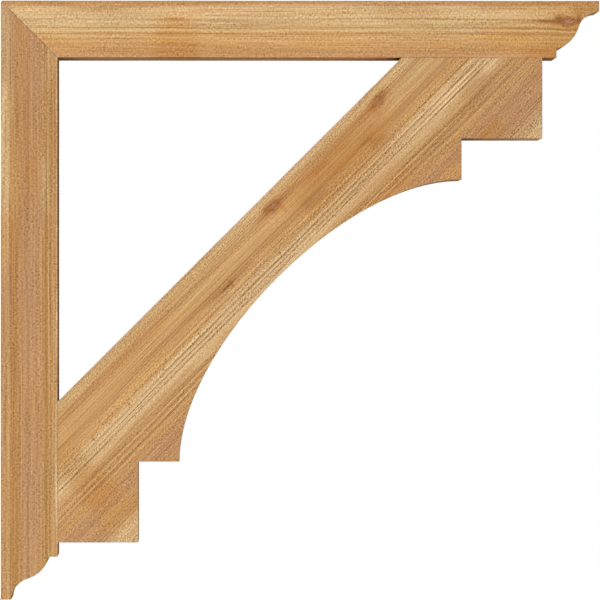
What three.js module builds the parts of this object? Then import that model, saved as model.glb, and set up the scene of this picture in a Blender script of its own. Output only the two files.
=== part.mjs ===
// Wooden corbel bracket: an upright wall leg, a top arm mitred to it, and a wide sawn brace between the two.
// Millimetres. +X points away from the wall, +Z up, and Y runs across the bracket.
// The origin is the middle of the leg's back face, which lies against the wall.

import * as THREE from "three";

// Leg and arm
const HEIGHT = 914; // top of the bracket down to the foot of the leg
const PROJECTION = 914; // wall out to the nose of the arm
const WIDTH = 89; // every piece, across the bracket
const MEMBER_DEPTH = 87; // leg and arm, from outer face to inner face

// Ogee cut on the foot of the leg and on the nose of the arm
const OGEE_LENGTH = 65.3; // end of the member back to the square shoulder
const NOSE_THICKNESS = 16.1; // flat end left outside the hollow
const SHOULDER_HEIGHT = 13.3; // square shoulder at the member's inner face
const OGEE_TURN_ACROSS = 0.445; // where the hollow turns into the round, as a share of the ogee's drop
const OGEE_TURN_ALONG = 0.492; // the same place, as a share of the ogee's length
const OGEE_SLOPE = 73.3; // degrees from the member's length, at that place

// Brace
const BRACE_DEPTH = 239.6; // sawn timber, at right angles to its grain
const BRACE_SETBACK = 87; // end of the leg or arm back to the brace's foot block
const BLOCK_LENGTH = 123.4; // foot block, along the leg or arm
const BLOCK_STANDOFF = 123.4; // foot block, out from the leg or arm
const STEP = 62.7; // second step, from the foot block to the hollow curve
const CURVE_REACH = 0.4075; // pull of each end's tangent on the hollow curve, as a share of its span

// Joints and fineness
const JOINT_GAP = 0.3; // between faces that meet
const ARC_STEPS = 14; // flats on each arc of an ogee
const CURVE_STEPS = 56; // flats on the brace's hollow curve

const MITRE_SHIFT = JOINT_GAP / Math.SQRT2;
const at = (x, z) => new THREE.Vector2(x, z);

// Points after `start` on the circular arc to `end`. The arc's tangent at `known`, one of those two, is `tangent`.
function arcPoints(start, end, known, tangent) {
  const other = known === start ? end : start;
  const normal = at(-tangent.y, tangent.x);
  const chord = other.clone().sub(known);
  const signedRadius = chord.lengthSq() / (2 * chord.dot(normal));
  const centre = known.clone().addScaledVector(normal, signedRadius);
  const from = start.clone().sub(centre);
  const to = end.clone().sub(centre);
  const arc = new THREE.EllipseCurve(
    centre.x, centre.y, from.length(), from.length(), from.angle(), to.angle(), from.cross(to) < 0,
  );
  return [...arc.getPoints(ARC_STEPS).slice(1, -1), end];
}

// Hollow then round, from the nose at the member's end back to the shoulder
function ogeePoints(length) {
  const drop = MEMBER_DEPTH - SHOULDER_HEIGHT - NOSE_THICKNESS;
  const nose = at(length, -NOSE_THICKNESS);
  const turn = at(length - OGEE_LENGTH * OGEE_TURN_ALONG, -NOSE_THICKNESS - drop * OGEE_TURN_ACROSS);
  const shoulder = at(length - OGEE_LENGTH, -NOSE_THICKNESS - drop);
  const slope = THREE.MathUtils.degToRad(OGEE_SLOPE);
  const tangent = at(-Math.cos(slope), -Math.sin(slope));
  return [nose, ...arcPoints(nose, turn, turn, tangent), ...arcPoints(turn, shoulder, turn, tangent)];
}

// A member lying along +X from the bracket's outer corner, its outer face up: mitre, outer face, ogee, inner face
function memberOutline(length) {
  return [
    at(MITRE_SHIFT, 0),
    at(length, 0),
    ...ogeePoints(length),
    at(length - OGEE_LENGTH, -MEMBER_DEPTH),
    at(MEMBER_DEPTH + MITRE_SHIFT, -MEMBER_DEPTH),
  ];
}

// The brace from the bracket's outer corner: foot on the leg, hollow curve, foot on the arm, straight inner edge
function braceOutline() {
  const seat = MEMBER_DEPTH + JOINT_GAP;
  const blockFace = MEMBER_DEPTH + BLOCK_STANDOFF;
  const hollow = blockFace + STEP;
  const footDown = HEIGHT - BRACE_SETBACK;
  const footOut = PROJECTION - BRACE_SETBACK;
  const stepDown = footDown - BLOCK_LENGTH;
  const stepOut = footOut - BLOCK_LENGTH;
  const edgeInset = blockFace - BRACE_DEPTH * Math.SQRT2 - seat;
  const curve = new THREE.CubicBezierCurve(
    at(hollow, -stepDown),
    at(hollow, -stepDown + (stepDown - hollow) * CURVE_REACH),
    at(stepOut - (stepOut - hollow) * CURVE_REACH, -hollow),
    at(stepOut, -hollow),
  );
  return [
    at(seat, -footDown - edgeInset),
    at(seat, -footDown),
    at(blockFace, -footDown),
    at(blockFace, -stepDown),
    ...curve.getPoints(CURVE_STEPS),
    at(stepOut, -blockFace),
    at(footOut, -blockFace),
    at(footOut, -seat),
    at(footOut + edgeInset, -seat),
  ];
}

// An outline in X and Z, made WIDTH thick about the bracket's middle plane
function sawn(outline) {
  const geometry = new THREE.ExtrudeGeometry(new THREE.Shape(outline), { depth: WIDTH, bevelEnabled: false });
  geometry.translate(0, 0, -WIDTH / 2);
  geometry.rotateX(Math.PI / 2);
  return geometry;
}

const cedar = (color) => new THREE.MeshStandardMaterial({ color, roughness: 0.75, metalness: 0 });

function topArm() {
  const mesh = new THREE.Mesh(sawn(memberOutline(PROJECTION)), cedar(0xcfa370));
  mesh.name = "top_arm";
  return mesh;
}

// The leg is cut as the arm is, and turned over about the line of the mitre
function wallLeg() {
  const mesh = new THREE.Mesh(sawn(memberOutline(HEIGHT)), cedar(0xc29468));
  mesh.name = "wall_leg";
  mesh.setRotationFromAxisAngle(new THREE.Vector3(1, 0, -1).normalize(), Math.PI);
  return mesh;
}

function diagonalBrace() {
  const mesh = new THREE.Mesh(sawn(braceOutline()), cedar(0xc6985f));
  mesh.name = "diagonal_brace";
  return mesh;
}

const bracket = new THREE.Group();
bracket.position.z = HEIGHT / 2;
bracket.add(wallLeg(), topArm(), diagonalBrace());

export default bracket;
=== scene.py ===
import math
from dataclasses import dataclass

import bmesh
import bpy
import numpy as np
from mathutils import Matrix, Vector
from mathutils.geometry import delaunay_2d_cdt


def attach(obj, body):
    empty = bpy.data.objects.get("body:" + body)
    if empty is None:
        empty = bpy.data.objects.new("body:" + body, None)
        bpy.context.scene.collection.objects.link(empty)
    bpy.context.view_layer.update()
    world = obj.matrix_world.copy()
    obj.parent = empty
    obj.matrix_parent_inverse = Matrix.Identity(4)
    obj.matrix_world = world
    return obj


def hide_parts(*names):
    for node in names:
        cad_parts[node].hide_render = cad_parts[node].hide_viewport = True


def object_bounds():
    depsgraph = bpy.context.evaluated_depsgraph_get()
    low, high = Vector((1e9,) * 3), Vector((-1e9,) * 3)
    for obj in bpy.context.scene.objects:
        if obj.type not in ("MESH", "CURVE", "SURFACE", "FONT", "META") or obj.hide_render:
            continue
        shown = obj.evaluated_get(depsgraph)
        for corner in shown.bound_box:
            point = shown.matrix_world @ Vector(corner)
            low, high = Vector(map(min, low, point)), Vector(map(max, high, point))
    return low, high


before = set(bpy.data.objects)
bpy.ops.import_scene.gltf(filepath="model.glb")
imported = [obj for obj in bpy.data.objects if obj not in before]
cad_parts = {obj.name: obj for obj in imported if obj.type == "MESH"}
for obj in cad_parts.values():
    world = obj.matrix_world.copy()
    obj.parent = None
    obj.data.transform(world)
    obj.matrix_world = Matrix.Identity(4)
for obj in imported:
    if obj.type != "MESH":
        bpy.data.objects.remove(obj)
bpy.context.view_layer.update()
LOW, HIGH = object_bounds()
TOP = HIGH.z
FRONT = LOW.y
BACK = HIGH.y
MM = 0.001

# Camera, in the photograph's view. The photograph is 600 pixels square.
PHOTO_SIDE = 600
BRACKET_LEFT = 0.7  # photograph's column of the back of the leg
BRACKET_TOP = 0.55  # photograph's row of the top of the arm
BRACKET_SPAN = 599.05  # photograph's pixels from the top of the arm to the foot of the leg
EYE_COLUMN = 182  # the sides of the pieces vanish towards this pixel, so the camera stands in front of it
EYE_ROW = 311
EYE_DISTANCE = 6.55  # from the bracket's front face
AIM_COLUMN = 222  # the camera points here, and its lens shift does the rest of the framing
SENSOR = 36

# Stage
FLOOR_DROP = 6  # the bracket hangs high on its wall, so it can be looked at from below as well
FLOOR_SIDE = 40
FLOOR_COLOUR = (245, 245, 245)
WORLD_LIGHT = 0.09  # the white surroundings are this bright for the wood, and 1 for the camera
LIGHTS = [  # name, place, side of the square, power in watts
    ("key", (-9.2, -15.2, 9.4), 7.2, 4800),  # from the upper left, as in the photograph
    ("under", (-1.0, -1.6, -3.5), 1.6, 65),
    ("rear", (-2.6, 3.8, 1.8), 2.0, 200),  # for the far side and the wall face
    ("fill", (5.2, 0.9, -3.6), 3.0, 110),  # reaches the outer side, but not the inside of the triangle
]

# Mesh fineness
ALONG = 5 * MM  # between points along the grain
ACROSS = 1.4 * MM  # between points across the grain
THROUGH = 2 * MM  # between rows through a piece's thickness
EASING = 0.6 * MM  # radius of the eased arrises
EASED_MIDDLE = 1 - math.sqrt(0.5)  # from each face in to an easing's middle, as a share of its radius
JOINT_REACH = 1 * MM  # faces of two pieces nearer to each other than this are a joint
JOINT_CLOSING = 0.12 * MM  # each face of a joint comes this far towards the other
JOINT_EASING = 0.1  # share of the easing that is left along a joint
CORNER_ANGLE = math.radians(20)  # the outline turns by more than this only at a corner
CORNER_RADIUS = 1.3 * EASING  # larger than the easing, so that the inset outline can't cross itself
CURVE_SAMPLES = 8  # between two CAD points on a curve
FILL_MARGIN = 0.55  # the fill keeps this far from the border, in spaces between its points

# Wood
RING_COUNT = 400
RINGS_BEFORE = 0.3  # share of the rings' whole width that lies before a piece's first edge
GROWTH_MARGIN = 35 * MM  # a place's growth lies less than this far outside its piece's width
WANDER = 1.1 * MM  # the rings stray this far, over the cells below: metres along, across and through
WANDER_CELL = (0.2, 0.06, 0.06)
RIPPLE = 0.25 * MM
RIPPLE_CELL = (0.06, 0.03, 0.03)
FIBRE_DEPTH = 0.07 * MM  # fibres, tufts and rings are this deep on average, and up to twice as deep
FIBRE_CELL = (40 * MM, 3.5 * MM, 3.5 * MM)
TUFT_DEPTH = 0.04 * MM
TUFT_CELL = (16 * MM, 5 * MM, 5 * MM)
RING_DEPTH = 0.06 * MM
GROOVE_DEPTH = 0.16 * MM  # for a dark line of strength 1
GROOVE_REACH = 1.6 * MM  # from a groove's middle to where it has about a third of its depth
PALE_AND_HIGHLIT_REACH = 2.0  # millimetres from the middle of a pale line to its edge; these lines are partly pale grain and partly a painted highlight

# Knots, in radii: along, across and through
KNOT_SIZE = (1.35, 1, 9)
HALO_SIZE = (3.0, 1.6, 9)
TAIL_SIZE = (4.5, 0.5, 6)  # a dark streak along the grain
KNOT_SWELL = 0.55  # how far the rings bend round a knot
SWELL_ALONG = 2.6  # how far from the knot they do so
SWELL_ACROSS = 2.5

# How much of its full colour each mark has
TINT_SHARE = 0.45
RING_SHARE = 0.75
DARK_STRIPE_SHARE = 0.6
PALE_STRIPE_SHARE = 0.4
LINE_SHARE = 0.8
PORE_SHARE = 0.6
TAIL_SHARE = 0.8
END_GRAIN_SHARE = 0.45
BAND_TONE = 0.3  # how much the broad streaks lighten and darken the wood
FUZZ_TONE = 2.25  # how much the fuzz does
TONE_CHANNELS = (0.85, 1.0, 1.35)  # a darker tone loses more blue than red

# Colours of the wood, as the screen shows them, from 0 to 255
# GLEAM is a painted highlight on the lit side of the grooves, partly also pale grain
GLEAM = (242, 206, 156)
SAP = (216, 180, 132)
CREAM = (209, 176, 128)
STRAW = (208, 170, 118)
HONEY = (210, 163, 103)
AMBER = (203, 155, 99)
TAN = (194, 147, 93)
OAK = (187, 139, 86)
RUSSET = (180, 130, 75)
ROSE = (191, 144, 101)
MAUVE = (183, 136, 95)
OCHRE = (190, 141, 76)
GOLD = (205, 152, 86)
EMBER = (184, 124, 62)
UMBER = (160, 108, 58)
STONE = (196, 160, 116)
REED = (200, 160, 112)
LINE = (146, 92, 44)
BRANCH = (146, 98, 46)
OLIVE = (156, 114, 58)
KNOT_CORE = (178, 128, 96)
KNOT_RIM = (146, 92, 44)
KNOT_HALO = (184, 124, 70)
PORE = (112, 68, 34)
BLACK = (0, 0, 0, 1)


def photo_point(column, row):
    """The place on the bracket's front face that the photograph shows at a pixel."""
    metres = (HIGH.z - LOW.z) / BRACKET_SPAN
    return Vector(((column - BRACKET_LEFT) * metres, FRONT, TOP - (row - BRACKET_TOP) * metres))


def add_camera():
    """The photograph's camera. It looks level at the bracket's front, and its lens shift does the framing."""
    camera = bpy.data.objects.new("camera", bpy.data.cameras.new("camera"))
    bpy.context.scene.collection.objects.link(camera)
    camera.location = photo_point(EYE_COLUMN, EYE_ROW) - Vector((0, EYE_DISTANCE, 0))
    sight = photo_point(AIM_COLUMN, EYE_ROW) - camera.location
    camera.rotation_euler = sight.to_track_quat("-Z", "Y").to_euler()
    camera.data.shift_x = 0.5 - AIM_COLUMN / PHOTO_SIDE
    camera.data.shift_y = EYE_ROW / PHOTO_SIDE - 0.5
    seen = photo_point(PHOTO_SIDE, 0).x - photo_point(0, 0).x
    camera.data.sensor_width = SENSOR
    camera.data.lens = SENSOR * sight.length / seen
    bpy.context.scene.camera = camera


# Outlines

def front_outline(node):
    """A CAD node's outline on its front face, as points in X and Z, anticlockwise as the camera sees them."""
    mesh = bmesh.new()
    mesh.from_mesh(node.data)
    bmesh.ops.remove_doubles(mesh, verts=mesh.verts, dist=0.01 * MM)
    mesh.normal_update()
    face = [f for f in mesh.faces if f.normal.y < -0.99]
    onward = {}
    for f in face:
        for loop in f.loops:
            if any(other not in face for other in loop.edge.link_faces):
                onward[loop.vert.index] = loop.link_loop_next.vert.index
    first = min(onward)
    order = [first]
    while onward[order[-1]] != first:
        order.append(onward[order[-1]])
    mesh.verts.ensure_lookup_table()
    points = np.array([(mesh.verts[i].co.x, mesh.verts[i].co.z) for i in order])
    mesh.free()
    return points


def turn_angles(points):
    """How far a closed outline turns at each of its points, in radians, to the left above 0."""
    before = points - np.roll(points, 1, axis=0)
    after = np.roll(points, -1, axis=0) - points
    cross = before[:, 0] * after[:, 1] - before[:, 1] * after[:, 0]
    return np.arctan2(cross, (before * after).sum(1))


def spline(points, samples):
    """A smooth line through points, each stretch between two of them cut into so many samples."""
    padded = np.vstack([2 * points[0] - points[1], points, 2 * points[-1] - points[-2]])
    t = np.linspace(0, 1, samples, endpoint=False)[:, None]
    out = []
    for a, b, c, d in zip(padded, padded[1:], padded[2:], padded[3:]):
        square = (2 * a - 5 * b + 4 * c - d) * t**2
        cube = (3 * b - a - 3 * c + d) * t**3
        out.append(0.5 * (2 * b + (c - a) * t + square + cube))
    return np.vstack([*out, points[-1:]])


def corner_trim(turn):
    """How far from a corner its rounding starts and ends, and where the rounding's middle lies, as a share of
    the way from the chord between those two places to the sharp corner."""
    half = (math.pi - abs(turn)) / 2
    return max(EASING, CORNER_RADIUS / math.tan(half)), math.sin(half) / (1 + math.sin(half))


def fine_outline(points, grain):
    """The outline with rounded corners, cut finely across the grain and coarsely along it."""
    turns = turn_angles(points)
    corners = np.flatnonzero(np.abs(turns) > CORNER_ANGLE)
    stretches = []
    for here, there in zip(corners, np.roll(corners, -1)):
        count = (there - here) % len(points)
        stretch = points[np.arange(here, here + count + 1) % len(points)]
        line = spline(stretch, CURVE_SAMPLES) if count > 1 else stretch
        steps = np.diff(line, axis=0)
        length = np.linalg.norm(steps, axis=1)
        cosine = np.clip(np.abs(steps @ grain) / length, 0, 1)
        weight = length * np.hypot(cosine / ALONG, np.sqrt(1 - cosine**2) / ACROSS)
        run = np.concatenate([[0], np.cumsum(length)])
        fine = np.concatenate([[0], np.cumsum(weight)])
        ends = np.interp([corner_trim(turns[here])[0], run[-1] - corner_trim(turns[there])[0]], run, fine)
        marks = np.linspace(*ends, max(2, round(ends[1] - ends[0]) + 1))
        places = np.interp(marks, fine, run)
        stretches.append(np.column_stack([np.interp(places, run, line[:, i]) for i in (0, 1)]))
    out = []
    for before, corner, after in zip(stretches, np.roll(corners, -1), stretches[1:] + stretches[:1]):
        chord = (before[-1] + after[0]) / 2
        out += [before, (chord + (points[corner] - chord) * corner_trim(turns[corner])[1])[None]]
    return np.vstack(out)


def outward(points):
    """Unit normals of an anticlockwise outline, pointing out of it."""
    tangent = np.roll(points, -1, axis=0) - np.roll(points, 1, axis=0)
    tangent /= np.linalg.norm(tangent, axis=1)[:, None]
    return np.column_stack([tangent[:, 1], -tangent[:, 0]])


def inside(points, polygon):
    """Which of the points lie in the polygon."""
    x, y = points.T
    found = np.zeros(len(points), bool)
    for (ax, ay), (bx, by) in zip(polygon, np.roll(polygon, -1, axis=0)):
        if ay != by:
            found ^= ((ay > y) != (by > y)) & (x < ax + (y - ay) * (bx - ax) / (by - ay))
    return found


def clearance(points, polygon):
    """Each point's distance to the polygon's nearest side."""
    nearest = np.full(len(points), np.inf)
    for a, b in zip(polygon, np.roll(polygon, -1, axis=0)):
        side = b - a
        share = np.clip((points - a) @ side / (side @ side), 0, 1)
        nearest = np.minimum(nearest, np.linalg.norm(points - a - share[:, None] * side, axis=1))
    return nearest


def filled(border, grain):
    """Points and triangles that fill a border, in rows along the grain. The border's points come first."""
    across = np.array([-grain[1], grain[0]])
    stretched = np.column_stack([border @ grain / ALONG, border @ across / ACROSS])
    low, high = stretched.min(0), stretched.max(0)
    a, c = np.meshgrid(np.arange(low[0], high[0]), np.arange(low[1] + 0.5, high[1]), indexing="ij")
    a = a + 0.5 * (np.arange(a.shape[1]) % 2)
    grid = np.column_stack([a.ravel(), c.ravel()])
    grid = grid[inside(grid, stretched)]
    grid = grid[clearance(grid, stretched) > FILL_MARGIN]
    points = np.vstack([stretched, grid])
    ring = [(i, (i + 1) % len(border)) for i in range(len(border))]
    found = delaunay_2d_cdt([Vector(p) for p in points], ring, [], 1, 1e-7)  # 1: triangles in the ring only
    if len(found[0]) != len(points):
        raise ValueError("the fill merged or added points")
    placed = points[:, :1] * ALONG * grain + points[:, 1:] * ACROSS * across
    return placed, np.array(found[2])


# Wood

def noise(places, seed):
    """Smooth random values from -1 to 1 at places in three dimensions, with cells one unit wide. The large
    numbers only scramble the cells' positions."""
    cell = np.floor(places).astype(np.int64)
    share = places - cell
    share = share * share * (3 - 2 * share)
    total = np.zeros(len(places))
    for corner in np.ndindex(2, 2, 2):
        x, y, z = (cell + corner).T
        mixed = (x * 374761393 + y * 668265263 + z * 1442695041 + seed * 2654435761) & 0xFFFFFFFF
        mixed = ((mixed ^ (mixed >> 13)) * 1274126177) & 0xFFFFFFFF
        mixed = (mixed ^ (mixed >> 16)) & 0xFFFFFF
        total += np.prod(np.where(corner, share, 1 - share), axis=1) * (mixed / 0x7FFFFF - 1)
    return total


@dataclass
class Timber:
    """One piece of wood. A place in it is (along, across, through): along the grain, across it from the
    piece's first edge, and through the thickness from the front face. A place's growth tells which ring it
    lies in, and on the front face it is nearly the same as across. What shows is listed in millimetres."""

    node: str
    grain: tuple  # this and across are directions in X and Z
    across: tuple
    centred: bool  # along is counted from the piece's middle, and not from its end
    pith: float  # metres across, from the first edge to the middle of the tree
    ring: float  # metres between growth rings, on average
    rough: float  # strength of the fuzz and of the bumps
    lift: float  # brightness
    fibre: float  # millimetres across a fibre
    grit: tuple  # millimetres along, across and through one tuft of the fuzz
    seed: int
    pen: tuple  # colour of the dark lines
    reach: float  # millimetres from the middle of a dark line to its edge
    bands: list  # (across, colour)
    coarse: list  # (across, strength of the fuzz, strength of the fine stripes)
    lines: list  # (across, strength): dark and sunken above 0; pale below it, partly pale grain and partly a painted highlight beside the grooves
    stains: list  # (along, across, half sizes, colour, strength), under the rings
    spots: list  # the same, but frayed, over the rings and lines and under the knots
    knots: list  # (along, across, radius, strength of the core, of the rim and of the halo)

    def __post_init__(self):
        self.grain = np.array(self.grain) / np.linalg.norm(self.grain)
        self.across = np.array(self.across) / np.linalg.norm(self.across)
        self.outline = front_outline(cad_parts[self.node])
        run = self.outline @ self.grain
        self.start = (run.min() + run.max()) / 2 if self.centred else run.min()
        self.edge = (self.outline @ self.across).min()
        self.depth = (self.outline @ self.across).max() - self.edge
        widths = np.random.default_rng(self.seed).uniform(0.5, 1.5, RING_COUNT) * self.ring
        self.rings = np.cumsum(widths) - RINGS_BEFORE * widths.sum()

    def place(self, points):
        flat = points[:, [0, 2]]
        along = flat @ self.grain - self.start
        across = flat @ self.across - self.edge
        return np.column_stack([along, across, points[:, 1] - FRONT])

    def growth(self, place):
        """Where each place's ring meets the front face, in metres across. It wanders along the grain, and
        swells round the knots."""
        along, across, through = place.T
        out = np.hypot(across - self.pith, through)
        grown = self.pith + out if self.pith < 0 else self.pith - out
        spot = np.column_stack([along, grown, through])
        wander = WANDER * noise(spot / WANDER_CELL, self.seed)
        ripple = RIPPLE * noise(spot / RIPPLE_CELL, self.seed + 1)
        grown = grown + wander + ripple
        for at_along, at_across, radius, *_ in self.knots:
            beyond = (across - at_across * MM) / (radius * MM)
            beside = (along - at_along * MM) / (SWELL_ALONG * radius * MM)
            swell = KNOT_SWELL * radius * MM * np.exp(-beside**2 - np.abs(beyond) / SWELL_ACROSS)
            grown = grown - swell * np.tanh(beyond)
        return grown

    def relief(self, place, grown, ring):
        """How deep the surface is sunk at each place: long fibres, tufts, the softer wood of each ring, and
        the dark lines."""
        spot = np.column_stack([place[:, 0], grown, place[:, 2]])
        fibres = FIBRE_DEPTH * (1 + noise(spot / FIBRE_CELL, self.seed + 2))
        tufts = TUFT_DEPTH * (1 + noise(spot / TUFT_CELL, self.seed + 3))
        depth = fibres + tufts
        depth += RING_DEPTH * (1 - np.cos(2 * math.pi * ring))
        for at, strength in self.lines:
            off = (grown - at * MM) / GROOVE_REACH
            depth += GROOVE_DEPTH * max(strength, 0) * np.exp(-(off**2))
        return depth


def solid(timber, others):
    """The piece's mesh: its CAD outline cut fine, with eased arrises and the wood's relief sunk into it.
    Where it meets another piece its arrises are almost sharp, and the faces all but touch."""
    outline = fine_outline(timber.outline, timber.grain)
    normals = outward(outline)
    joined = np.min([clearance(outline, other.outline) for other in others], axis=0) < JOINT_REACH
    outline = outline + normals * (JOINT_CLOSING * joined)[:, None]
    easing = EASING * np.where(joined, JOINT_EASING, 1)[:, None]
    inner_rows = np.linspace(FRONT + EASING, BACK - EASING, round((BACK - FRONT) / THROUGH))
    rows = [(EASED_MIDDLE, FRONT + EASED_MIDDLE * EASING)]
    rows += [(0, y) for y in inner_rows]
    rows.append((EASED_MIDDLE, BACK - EASED_MIDDLE * EASING))
    flat, triangles = filled(outline - normals * easing, timber.grain)
    count = len(outline)
    parts = [np.column_stack([flat[:, 0], np.full(len(flat), FRONT), flat[:, 1]])]
    for inset, y in rows:
        ring = outline - normals * easing * inset
        parts.append(np.column_stack([ring[:, 0], np.full(count, y), ring[:, 1]]))
    parts.append(np.column_stack([flat[:, 0], np.full(len(flat), BACK), flat[:, 1]]))
    points = np.vstack(parts)
    first_of_row = [0] + [len(flat) + i * count for i in range(len(rows) + 1)]
    here = np.arange(count)
    there = (here + 1) % count
    faces = [tuple(t) for t in triangles]
    for near, far in zip(first_of_row, first_of_row[1:]):
        faces += list(zip(near + here, far + here, far + there, near + there))
    faces += [tuple(t[::-1] + first_of_row[-1]) for t in triangles]

    mesh = bpy.data.meshes.new(timber.node + "_wood")
    mesh.from_pydata(points, [], faces)
    mesh.update()
    facing = np.zeros(len(points) * 3)
    mesh.vertices.foreach_get("normal", facing)
    place = timber.place(points)
    grown = timber.growth(place)
    ring = np.interp(grown, timber.rings, np.arange(len(timber.rings)))
    points = points - facing.reshape(-1, 3) * timber.relief(place, grown, ring)[:, None]
    mesh.vertices.foreach_set("co", points.ravel())
    along_growth = np.column_stack([place[:, 0], grown, place[:, 2]])
    for name, values in (("place", place), ("growth", along_growth)):
        mesh.attributes.new(name, "FLOAT_VECTOR", "POINT").data.foreach_set("vector", values.ravel())
    mesh.attributes.new("ring", "FLOAT", "POINT").data.foreach_set("value", ring)
    mesh.shade_smooth()

    # The edges on both sides of each easing stay crisp
    crisp = np.zeros(len(points), int)
    for row in (0, 2, len(rows) - 1, len(rows) + 1):
        crisp[first_of_row[row]:first_of_row[row] + count] = row + 1
    ends = np.zeros(2 * len(mesh.edges), np.int32)
    mesh.edges.foreach_get("vertices", ends)
    pairs = crisp[ends.reshape(-1, 2)]
    sharp = (pairs[:, 0] == pairs[:, 1]) & (pairs[:, 0] > 0)
    mesh.attributes.new("sharp_edge", "BOOLEAN", "EDGE").data.foreach_set("value", sharp)
    mesh.update()
    return mesh


# Materials

def linear(colour):
    """A screen colour as the light that a shader works with."""
    shares = [channel / 255 for channel in colour]
    return (*[s / 12.92 if s <= 0.04045 else ((s + 0.055) / 1.055) ** 2.4 for s in shares], 1)


class Nodes:
    """Shorthand for building a material's nodes. Each method returns the new node's output."""

    def __init__(self, name):
        self.material = bpy.data.materials.new(name)
        self.material.use_nodes = True
        self.tree = self.material.node_tree
        self.tree.nodes.clear()

    def node(self, kind, inputs, output=0, **settings):
        node = self.tree.nodes.new(kind)
        for key, value in settings.items():
            setattr(node, key, value)
        for key, value in inputs.items():
            if isinstance(value, bpy.types.NodeSocket):
                self.tree.links.new(value, node.inputs[key])
            else:
                node.inputs[key].default_value = value
        return node.outputs[output] if node.outputs else node

    def math(self, operation, *values):
        return self.node("ShaderNodeMath", dict(enumerate(values)), operation=operation)

    def vector(self, operation, *values, output=0):
        return self.node("ShaderNodeVectorMath", dict(enumerate(values)), output, operation=operation)

    def attribute(self, name, output):
        return self.node("ShaderNodeAttribute", {}, output, attribute_name=name)

    def scaled(self, vector, *sizes):
        """The vector in units of the given sizes, in millimetres along, across and through."""
        return self.vector("MULTIPLY", vector, [1 / (size * MM) for size in sizes])

    def noise(self, vector, detail=1.0, distortion=0.0):
        inputs = {"Vector": vector, "Scale": 1.0, "Detail": detail, "Distortion": distortion}
        return self.node("ShaderNodeTexNoise", inputs)

    def ramp(self, value, stops, low, high, smooth):
        """A colour ramp with stops of (millimetres, colour)."""
        share = self.math("DIVIDE", self.math("SUBTRACT", value, low), high - low)
        out = self.node("ShaderNodeValToRGB", {0: share})
        ramp = out.node.color_ramp
        ramp.interpolation = smooth
        for index, (at, colour) in enumerate(stops):
            position = (at * MM - low) / (high - low)
            stop = ramp.elements[index] if index < 2 else ramp.elements.new(1)
            stop.position = position
            stop.color = colour
        return out

    def peaks(self, value, heights, reach, low, high):
        """Narrow peaks from a list of (millimetres, height). A ramp holds 32 stops, so it takes ten peaks."""
        total = 0.0
        for first in range(0, len(heights), 10):
            stops = []
            for at, peak in heights[first:first + 10]:
                stops += [(at - reach, BLACK), (at, (peak, peak, peak, 1)), (at + reach, BLACK)]
            total = self.math("ADD", self.ramp(value, stops, low, high, "LINEAR"), total)
        return total

    def fade(self, value, start, end, low=0.0, high=1.0):
        """Low where the value is at the start, high where it is at the end, and held beyond them."""
        return self.node("ShaderNodeMapRange", {0: value, 1: start, 2: end, 3: low, 4: high})

    def times(self, a, b):
        return self.math("MULTIPLY", a, b)

    def mix(self, share, under, over):
        return self.node("ShaderNodeMix", {"Factor": share, 6: under, 7: over}, 2, data_type="RGBA")

    def patch(self, place, along, across, spread):
        """1 around a place on the front face, falling to 0 beyond the spread, in millimetres, with firm ends
        along the grain."""
        off = self.vector("SUBTRACT", place, (along * MM, across * MM, 0))
        x, y, z = self.node("ShaderNodeSeparateXYZ", {0: self.scaled(off, *spread)}).node.outputs
        far = self.math("POWER", self.math("ABSOLUTE", x), 5)
        far = self.math("MULTIPLY_ADD", y, y, far)
        far = self.math("MULTIPLY_ADD", z, z, far)
        return self.math("EXPONENT", self.times(far, -1))

    def bell(self, place, along, across, spread):
        """1 at a place on the front face, falling smoothly to 0 beyond the spread, in millimetres."""
        off = self.vector("SUBTRACT", place, (along * MM, across * MM, 0))
        off = self.scaled(off, *spread)
        square = self.vector("DOT_PRODUCT", off, off, output=1)
        return self.math("EXPONENT", self.times(square, -1))


def knotted(n, timber, place, colour):
    """The colour with the knots in it. Each has a core in a dark rim, a warm patchy halo and a streak that
    runs out along the grain."""
    for along, across, radius, core, rim, halo in timber.knots:
        frayed = n.noise(n.scaled(place, 6, 3, 9), 2.0, 0.8)
        flecks = n.fade(n.noise(n.scaled(place, 3.4, 2.4, 9)), 0.4, 0.6, 0.3)
        off = n.vector("SUBTRACT", place, (along * MM, across * MM, 0))
        away = n.vector("LENGTH", n.scaled(off, *[share * radius for share in KNOT_SIZE]), output=1)
        away = n.math("MULTIPLY_ADD", n.math("SUBTRACT", frayed, 0.5), 2.0, away)
        patchy = n.fade(frayed, 0.35, 0.6, 0.35)
        warm = n.times(n.bell(place, along, across, [share * radius for share in HALO_SIZE]), patchy)
        colour = n.mix(n.times(warm, halo), colour, linear(KNOT_HALO))
        tail = n.times(n.bell(place, along, across, [share * radius for share in TAIL_SIZE]), patchy)
        colour = n.mix(n.times(tail, TAIL_SHARE * rim), colour, linear(KNOT_RIM))
        in_rim = n.fade(away, 1.3, 0.9, 0.0, rim)
        colour = n.mix(n.times(in_rim, flecks), colour, linear(KNOT_RIM))
        in_core = n.fade(away, 0.8, 0.4, 0.0, core)
        colour = n.mix(n.times(in_core, flecks), colour, linear(KNOT_CORE))
    return colour


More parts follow.
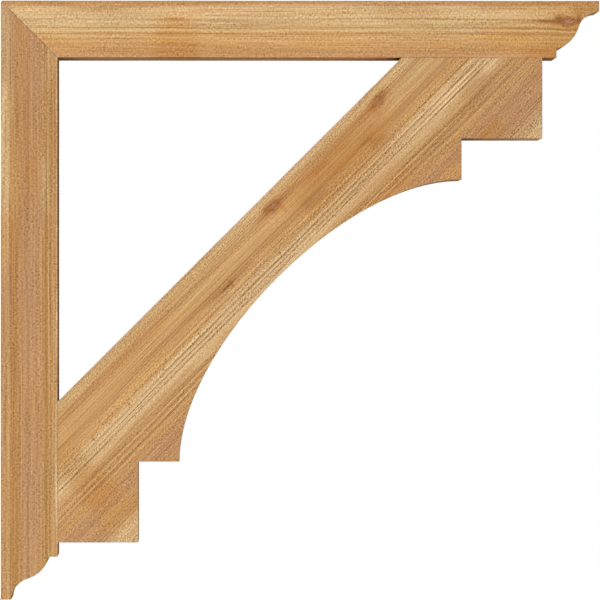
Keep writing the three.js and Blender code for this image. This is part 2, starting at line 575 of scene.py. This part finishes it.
def cedar(timber):
    """The piece's material. It is built up from the broad colours to the small marks."""
    n = Nodes(timber.node + "_cedar")
    place = n.attribute("place", 1)
    growth = n.attribute("growth", 1)
    ring = n.attribute("ring", 2)
    grown = n.node("ShaderNodeSeparateXYZ", {0: growth}, 1)
    low = -GROWTH_MARGIN
    high = timber.depth + GROWTH_MARGIN

    # Broad bands of colour, with edges that wander, and stains
    drift = n.math("SUBTRACT", n.noise(n.scaled(growth, 130, 16, 30)), 0.5)
    drifted = n.math("MULTIPLY_ADD", drift, 9 * MM, grown)
    colour = n.ramp(drifted, [(at, linear(shade)) for at, shade in timber.bands], low, high, "EASE")
    patchy = n.math("MULTIPLY_ADD", n.noise(n.scaled(place, 45, 9, 20)), 1.2, 0.4)
    for along, across, spread, shade, strength in timber.stains:
        share = n.times(n.patch(place, along, across, spread), strength)
        colour = n.mix(n.times(share, patchy), colour, linear(shade))

    # How strong the fuzz and the fine stripes are. The ramp holds half of each, because its colours end at 1.
    halves = [(at, (fuzzy / 2, striped / 2, 0, 1)) for at, fuzzy, striped in timber.coarse]
    levels = n.ramp(grown, halves, low, high, "EASE")
    levels = n.node("ShaderNodeSeparateColor", {0: levels}).node
    broken = n.fade(n.noise(n.scaled(growth, 70, 4, 10)), 0.35, 0.6, 0.25)
    patch = n.fade(n.noise(n.scaled(place, 50, 16, 30)), 0.35, 0.6, 0.6, 1.1)
    sawn = n.times(n.times(levels.outputs[0], 2), patch)
    striped = n.times(n.times(levels.outputs[1], 2), n.math("MULTIPLY_ADD", broken, 0.6, 0.4))

    # Growth rings: a darkening to a crisp edge, stronger in some rings than in others
    late = n.math("POWER", n.math("FRACT", ring), 4)
    kind = n.node("ShaderNodeTexWhiteNoise", {"W": n.math("FLOOR", ring)}, noise_dimensions="1D")
    late = n.times(n.times(late, n.times(kind, kind)), broken)
    late = n.times(late, n.math("MULTIPLY_ADD", levels.outputs[1], 1.4, 0.25))
    colour = n.mix(n.times(late, RING_SHARE), colour, linear(LINE))

    # Tints that come and go, fibres, and the fuzz that the saw left, rougher in patches
    for size, shade in (((110, 5, 8), ROSE), ((90, 4, 7), OCHRE)):
        tint = n.fade(n.noise(n.scaled(growth, *size), 2.0), 0.5, 0.68, 0.0, TINT_SHARE)
        colour = n.mix(tint, colour, linear(shade))
    streak = n.noise(n.scaled(growth, 120, timber.fibre, timber.fibre), 1.0)
    band = n.noise(n.scaled(growth, 220, 5, 5), 2.0)
    grit = n.noise(n.scaled(growth, *timber.grit), 1.0, 0.3)
    fuzz = n.times(n.math("SUBTRACT", grit, 0.5), sawn)
    tone = n.times(n.math("SUBTRACT", streak, 0.5), n.math("MULTIPLY_ADD", sawn, 0.45, 0.3))
    tone = n.math("MULTIPLY_ADD", n.math("SUBTRACT", band, 0.5), BAND_TONE, tone)
    tone = n.math("MULTIPLY_ADD", fuzz, FUZZ_TONE * timber.rough, tone)
    tones = n.node("ShaderNodeCombineXYZ", {0: tone, 1: tone, 2: tone})
    tones = n.vector("MULTIPLY_ADD", tones, TONE_CHANNELS, [timber.lift] * 3)
    colour = n.vector("MULTIPLY", colour, tones)

    # Fine stripes, dark and pale, and the plain lines. The pale lines, in GLEAM, are partly pale grain and
    # partly a painted highlight on the lit side beside the sunken dark lines.
    stripe = n.noise(n.scaled(growth, 260, 1.3 * timber.fibre, 1.3 * timber.fibre), 1.0)
    dark = n.times(n.fade(stripe, 0.45, 0.33), striped)
    pale = n.times(n.fade(stripe, 0.55, 0.67), striped)
    colour = n.mix(n.times(dark, DARK_STRIPE_SHARE), colour, linear(LINE))
    colour = n.mix(n.times(pale, PALE_STRIPE_SHARE), colour, linear(SAP))
    steady = n.math("MULTIPLY_ADD", broken, 0.5, 0.5)
    sunken = [(at, strength) for at, strength in timber.lines if strength > 0]
    bright = [(at, -strength) for at, strength in timber.lines if strength < 0]
    lines = n.times(n.peaks(grown, sunken, timber.reach, low, high), steady)
    pale_and_highlit_lines = n.times(n.peaks(grown, bright, PALE_AND_HIGHLIT_REACH, low, high), steady)
    colour = n.mix(n.times(lines, LINE_SHARE), colour, linear(timber.pen))
    colour = n.mix(n.times(pale_and_highlit_lines, LINE_SHARE), colour, linear(GLEAM))

    # Pores: a dark dot in one cell out of ten, where the fuzz is strong
    cells = n.node("ShaderNodeTexVoronoi", {"Vector": n.scaled(growth, 6, 2.2, 2.2), "Scale": 1.0}, 0)
    rare = n.math("GREATER_THAN", n.node("ShaderNodeSeparateColor", {0: cells.node.outputs[1]}), 0.9)
    pore = n.times(n.math("SUBTRACT", 1, n.math("MINIMUM", n.times(cells, 2.6), 1)), rare)
    pore = n.times(pore, n.math("MINIMUM", n.times(sawn, sawn), 1))
    colour = n.mix(n.times(pore, PORE_SHARE), colour, linear(PORE))

    # Small frayed spots, and knots
    ragged = n.fade(n.noise(n.scaled(place, 5, 2.5, 9), 2.0, 0.8), 0.35, 0.6, 0.35, 1.2)
    for along, across, spread, shade, strength in timber.spots:
        share = n.times(n.times(n.bell(place, along, across, spread), ragged), strength)
        colour = n.mix(share, colour, linear(shade))
    colour = knotted(n, timber, place, colour)

    # End grain: darker, where the surface faces along the grain
    facing = n.node("ShaderNodeTexCoord", {}, "Normal")
    grain = (timber.grain[0], 0, timber.grain[1])
    end = n.math("ABSOLUTE", n.vector("DOT_PRODUCT", facing, grain, output=1))
    colour = n.mix(n.fade(end, 0.55, 0.95, 0.0, END_GRAIN_SHARE), colour, linear(OAK))

    # Gloss and bumps: the pale fibres, fuzz and stripes stand up, and the dark marks and pores lie lower
    rough = n.math("MULTIPLY_ADD", streak, 0.25, 0.55)
    height = n.math("MULTIPLY_ADD", streak, 0.5, fuzz)
    height = n.math("MULTIPLY_ADD", n.math("SUBTRACT", pale, dark), 0.35, height)
    hollow = n.math("MULTIPLY_ADD", n.math("ADD", late, lines), 0.6, n.times(pore, 0.5))
    height = n.math("SUBTRACT", height, hollow)
    distance = 1.6 * timber.rough * MM
    bump = n.node("ShaderNodeBump", {"Strength": 1.0, "Distance": distance, "Height": height})
    shader = n.node(
        "ShaderNodeBsdfPrincipled",
        {"Base Color": colour, "Roughness": rough, "Specular IOR Level": 0.18, "Normal": bump},
    )
    n.node("ShaderNodeOutputMaterial", {0: shader})
    return n.material


LEG_FLECKS = [(228, 48), (261, 50), (297, 48), (303, 50), (372, 38), (586, 34), (612, 36), (692, 35),
              (696, 38)]
WALL_LEG = Timber(
    "wall_leg",
    grain=(0, -1),
    across=(1, 0),
    centred=False,
    pith=0.24,
    ring=5.5 * MM,
    rough=0.6,
    lift=0.92,
    fibre=1.7,
    grit=(2.8, 3.5, 3.5),
    seed=11,
    pen=LINE,
    reach=1.8,
    # The SAP band from 85 mm to the inner edge is a painted highlight along the leg's inner arris
    bands=[(-20, TAN), (1, ROSE), (8, TAN), (13, TAN), (18, RUSSET), (23, RUSSET), (28, OAK), (34, ROSE),
           (41, MAUVE), (47, ROSE), (56, ROSE), (62, TAN), (67, OAK), (71, OCHRE), (76, OCHRE), (80, TAN),
           (83, TAN), (85, SAP), (100, SAP)],
    coarse=[(0, 1, 0.35), (16, 1, 0.5), (30, 0.9, 0.2), (60, 1, 0.3), (67, 1.1, 0.8), (79, 1.2, 0.9),
            (87, 1.1, 0.5)],
    lines=[(16, 0.4), (24, 0.15), (42.5, 0.2), (69.8, 0.3), (75.6, 0.25), (82, 0.2),
           (11, -0.25), (46.5, -0.15), (73, -0.4), (79.8, -0.4)],
    stains=[(230, 2, (104, 14, 30), SAP, 1.2), (60, 4, (72, 14, 30), STONE, 1.0),
            (230, 20, (103, 7, 30), TAN, 0.8), (70, 18, (62, 8, 30), ROSE, 0.7),
            (368, 8, (38, 6, 30), AMBER, 0.8), (368, 17.5, (36, 3, 30), EMBER, 0.7),
            (470, 8, (66, 10, 30), MAUVE, 0.7), (472, 48, (66, 14, 30), MAUVE, 0.5),
            (154, 8, (28, 9, 30), SAP, 0.7), (92, 46, (42, 18, 30), MAUVE, 0.8),
            (76, 35, (60, 8, 30), RUSSET, 0.5), (230, 40, (102, 14, 30), RUSSET, 0.6),
            (260, 48, (30, 8, 30), EMBER, 0.3), (190, 61, (60, 5, 30), ROSE, 0.8),
            (100, 70, (32, 9, 30), STONE, 0.5), (285, 68, (46, 6, 30), CREAM, 0.6),
            (590, 38, (56, 12, 30), OAK, 0.5), (215, 80, (120, 5, 30), RUSSET, 1.1)],
    spots=[(600, 69.6, (210, 1.6, 30), OLIVE, 0.7),
           *((along, across, (0.8, 3.2, 9), UMBER, 0.6) for along, across in LEG_FLECKS)],
    knots=[],
)
ARM_PINS = [(108, 36), (131, 37), (142, 36), (160, 36.5), (178, 36.5), (151, 29), (134, 43), (176, 43.5),
            (478, 36.5), (500, 36.5), (521, 37), (562, 36.5), (605, 37), (626, 36.5), (650, 36.5),
            (733, 29.5), (745, 29.5), (157, 71), (291, 77), (552, 43), (629, 61), (627, 71)]
TOP_ARM = Timber(
    "top_arm",
    grain=(1, 0),
    across=(0, -1),
    centred=False,
    pith=-0.14,
    ring=4.5 * MM,
    rough=0.65,
    lift=1.05,
    fibre=1.7,
    grit=(2.8, 3.5, 3.5),
    seed=23,
    pen=OLIVE,
    reach=2.2,
    bands=[(-20, OAK), (1.5, RUSSET), (6, MAUVE), (11, STRAW), (18, CREAM), (26, CREAM), (36, CREAM),
           (46, STRAW), (57, HONEY), (64, AMBER), (71, TAN), (77, OAK), (83, ROSE), (100, TAN)],
    coarse=[(0, 1, 0.4), (30, 1.05, 0.6), (42, 1.05, 0.9), (58, 1.05, 0.7), (64, 0.9, 0.4), (75, 0.9, 0.3),
            (87, 1, 0.3)],
    lines=[(29.3, 0.5), (41.8, 0.65), (51, 0.7), (60, 0.2), (65.8, 0.3),
           (25.7, -0.3), (39, -0.3), (45.8, -0.6), (55, -0.3), (62.4, -0.25)],
    stains=[(398, 15, (164, 11, 30), SAP, 0.9), (150, 8, (34, 11, 30), STONE, 0.9),
            (148, 4, (46, 8, 30), OAK, 0.9), (400, 36.5, (134, 4, 30), SAP, 0.7),
            (370, 1, (130, 7, 30), RUSSET, 0.7), (625, 15, (56, 11, 30), REED, 0.9),
            (430, 55, (135, 16, 40), HONEY, 0.9), (268, 52, (34, 30, 40), GOLD, 0.9),
            (400, 78, (110, 7, 40), OAK, 0.5), (268, 74, (34, 14, 40), EMBER, 0.9),
            (262, 29, (18, 3, 30), EMBER, 1.0), (268, 50.5, (30, 3, 30), EMBER, 0.6),
            (795, 52, (66, 20, 40), GOLD, 0.9), (874, 58, (44, 40, 40), OCHRE, 1.1),
            (830, 52, (50, 3, 30), EMBER, 0.4), (842, 16, (46, 10, 40), HONEY, 0.6),
            (852, 2, (66, 6, 40), RUSSET, 1.2), (896, 8, (24, 14, 30), RUSSET, 1.1),
            (268, 80, (34, 9, 40), UMBER, 0.4), (838, 80, (40, 10, 40), EMBER, 1.1)],
    spots=[(730, 35.5, (48, 1.6, 14), OLIVE, 0.4), (834, 31, (20, 1.9, 14), BRANCH, 1.1),
           (852, 28, (6, 6, 14), KNOT_RIM, 1.4), (883, 28, (4, 8, 12), KNOT_RIM, 1.3),
           (880, 42, (6, 8, 12), EMBER, 0.8),
           *((along, across, (1.0, 1.6, 9), UMBER, 0.7) for along, across in ARM_PINS)],
    knots=[(866, 31.5, 8, 1.3, 1.3, 0.5)],
)
BRACE_PINS = [-373, -297, -222, -146, 29, 338]
DIAGONAL_BRACE = Timber(
    "diagonal_brace",
    grain=(1, 1),
    across=(1, -1),
    centred=True,
    pith=-0.32,
    ring=5 * MM,
    rough=1.0,
    lift=0.975,
    fibre=2.2,
    grit=(2.6, 2.3, 2.3),
    seed=37,
    pen=BRANCH,
    reach=1.5,
    bands=[(-20, STONE), (2, STONE), (9, STRAW), (15, AMBER), (21, OAK), (27, TAN), (34, HONEY), (40, HONEY),
           (45, AMBER), (51, OAK), (57, TAN), (63, AMBER), (69, HONEY), (75, HONEY), (81, SAP), (93, SAP),
           (104, SAP), (108, STRAW), (114, REED), (119, TAN), (125, TAN), (133, OAK), (146, TAN), (156, ROSE),
           (167, MAUVE), (178, ROSE), (188, MAUVE), (200, ROSE), (212, STONE), (222, SAP)],
    coarse=[(0, 0.8, 0.5), (15, 0.75, 0.5), (28, 0.5, 0.4), (40, 0.35, 0.3), (50, 0.35, 0.2),
            (58, 0.5, 0.35), (66, 0.65, 0.4), (74, 1.0, 0.5), (84, 1.0, 0.5), (98, 1.15, 0.5),
            (104, 0.5, 0.15), (114, 0.5, 0.2), (121, 0.9, 0.6), (136, 0.9, 0.7), (142, 0.75, 0.2),
            (180, 0.75, 0.15), (205, 0.9, 0.3)],
    lines=[(19.2, 0.2), (27.8, 0.3), (40.8, 0.15), (52.6, 0.4), (60.4, 0.2), (74.9, 0.6), (80, 0.2),
           (85.9, 0.75), (92.5, 0.7), (98.2, 0.7), (121, 0.35), (128.8, 0.2), (135.6, 0.4),
           (16.6, -0.2), (37, -0.3), (47.4, -0.15), (69.8, -0.2), (78, -0.3), (82.7, -0.55),
           (89.8, -0.6), (95.7, -0.6), (101, -0.5), (123.8, -0.4), (131.6, -0.4), (140, -0.35)],
    stains=[(-50, 20, (102, 12, 40), STRAW, 0.45), (-50, 36, (102, 5, 40), STRAW, 0.5),
            (-58, 57, (52, 8, 40), OAK, 0.9), (-58, 59, (46, 5, 40), UMBER, 0.45),
            (-50, 82, (65, 24, 40), STONE, 0.4), (-290, 23, (125, 7, 40), RUSSET, 0.5),
            (-290, 42, (130, 20, 50), TAN, 0.6), (-320, 126, (130, 24, 60), OAK, 0.6),
            (362, 30, (74, 16, 40), STRAW, 0.8), (190, 40, (101, 30, 60), EMBER, 0.8),
            (190, 84, (101, 26, 60), EMBER, 0.4), (190, 5, (200, 8, 40), SAP, 0.7),
            (124, 59, (22, 11, 30), UMBER, 0.5), (190, 52, (20, 6, 30), EMBER, 0.8),
            (257, 62, (16, 13, 30), EMBER, 0.7), (202, 131, (66, 14, 60), EMBER, 1.0),
            (-425, 90, (25, 40, 60), OCHRE, 0.7), (-425, 142, (28, 26, 60), EMBER, 0.8),
            (-425, 185, (36, 18, 60), OCHRE, 0.9), (302, 178, (16, 14, 60), GOLD, 0.6),
            (384, 176, (24, 11, 60), EMBER, 0.9), (420, 118, (28, 50, 60), MAUVE, 0.6),
            (-350, 192, (80, 14, 60), OAK, 0.9), (-420, 216, (40, 10, 60), SAP, 0.9)],
    spots=[(62, 18.5, (8, 4.5, 12), BRANCH, 1.5), (81, 27, (3.5, 11, 12), EMBER, 1.3),
           (68, 25, (2.2, 7, 12), UMBER, 1.0), (285, 27, (3.5, 11, 12), EMBER, 1.2),
           (309, 18, (8, 5, 12), BRANCH, 1.3), (301, 25, (2.2, 7, 12), UMBER, 1.0),
           (-311, 90, (118, 9, 40), SAP, 0.35), (395, 98, (50, 1.3, 20), BRANCH, 1.0),
           # The three GLEAM spots here and below are painted highlights beside the grooves, over pale grain
           (395, 89.8, (48, 1.4, 12), GLEAM, 1.1), (385, 95.7, (52, 1.3, 12), GLEAM, 1.1),
           (330, 82.7, (70, 1.3, 12), GLEAM, 0.7), (400, 123.8, (44, 1.4, 12), BRANCH, 0.8),
           (-62, 59.5, (16, 1.7, 20), PORE, 1.1), (-57, 60, (2, 6, 20), BRANCH, 1.3),
           (240, 52, (12, 2.0, 20), UMBER, 1.3), (250, 56, (6, 7, 20), UMBER, 0.8),
           *((along, 80, (1.7, 2.6, 9), UMBER, 1.2) for along in BRACE_PINS)],
    knots=[(73, 22, 7, 0.7, 1.0, 0.85), (297, 22, 7, 0.6, 0.9, 0.85)],
)


# Stage

def add_floor():
    """A plain pale floor far below the bracket. It neither shades nor lights the wood."""
    mesh = bpy.data.meshes.new("floor")
    side = FLOOR_SIDE / 2
    corners = [(-side, -side, 0), (side, -side, 0), (side, side, 0), (-side, side, 0)]
    mesh.from_pydata(corners, [], [(0, 1, 2, 3)])
    floor = bpy.data.objects.new("floor", mesh)
    floor.location.z = LOW.z - FLOOR_DROP
    bpy.context.scene.collection.objects.link(floor)
    floor.visible_diffuse = False
    floor.visible_glossy = False
    floor.visible_shadow = False
    n = Nodes("floor")
    settings = {"Base Color": linear(FLOOR_COLOUR), "Roughness": 0.9, "Emission Color": (1, 1, 1, 1)}
    shader = n.node("ShaderNodeBsdfPrincipled", {**settings, "Emission Strength": 1.0})
    n.node("ShaderNodeOutputMaterial", {0: shader})
    mesh.materials.append(n.material)


def add_lights():
    """Square soft lights that point at the bracket, and a white world that lights the wood only weakly."""
    middle = (LOW + HIGH) / 2
    for name, place, size, power in LIGHTS:
        light = bpy.data.lights.new(name, "AREA")
        light.size = size
        light.energy = power
        holder = bpy.data.objects.new(name, light)
        bpy.context.scene.collection.objects.link(holder)
        holder.location = place
        holder.rotation_euler = (middle - Vector(place)).to_track_quat("-Z", "Y").to_euler()

    world = bpy.data.worlds.new("studio")
    bpy.context.scene.world = world
    world.use_nodes = True
    tree = world.node_tree
    background = tree.nodes["Background"]
    background.inputs["Color"].default_value = (1, 1, 1, 1)
    seen = tree.nodes.new("ShaderNodeLightPath").outputs["Is Camera Ray"]
    level = tree.nodes.new("ShaderNodeMapRange")
    level.inputs["To Min"].default_value = WORLD_LIGHT
    level.inputs["To Max"].default_value = 1.0
    tree.links.new(seen, level.inputs["Value"])
    tree.links.new(level.outputs[0], background.inputs["Strength"])
    bpy.context.scene.view_settings.view_transform = "Standard"


add_camera()
timbers = (WALL_LEG, TOP_ARM, DIAGONAL_BRACE)
for timber in timbers:
    mesh = solid(timber, [other for other in timbers if other is not timber])
    piece = bpy.data.objects.new(timber.node + "_wood", mesh)
    bpy.context.scene.collection.objects.link(piece)
    piece.data.materials.append(cedar(timber))
    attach(piece, "root")
    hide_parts(timber.node)
add_floor()
add_lights()

bpy.context.view_layer.update()
